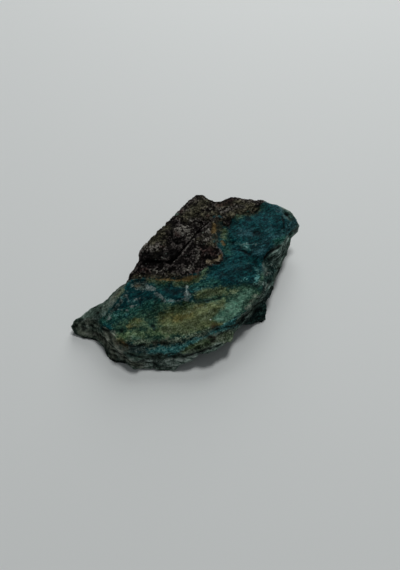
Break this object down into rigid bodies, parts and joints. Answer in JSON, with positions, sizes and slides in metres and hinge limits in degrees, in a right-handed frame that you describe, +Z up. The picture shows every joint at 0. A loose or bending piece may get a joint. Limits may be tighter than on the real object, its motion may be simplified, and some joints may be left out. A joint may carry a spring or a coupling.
{
  "type": "rough turquoise stone",
  "caption": "Broken slab of rough turquoise with dark host rock on top, a thin layered front edge and a pointed end; it lies flat on its broad underside.",
  "frame": {"origin": "centre of the stone's bounding box, on the surface it lies on", "axes": "+X along the slab's length, its pointed end at -X; +Y towards its thick back edge; +Z up, out of the face with the host rock"},
  "size_m": [0.0926, 0.07, 0.0194],
  "materials": {
    "raw_turquoise": "raw broken turquoise, blue green and waxy to dull, with dark brown host rock, rust and pale quartz"
  },
  "bodies": {
    "root": {"rough_turquoise": "raw_turquoise"}
  },
  "joints": []
}
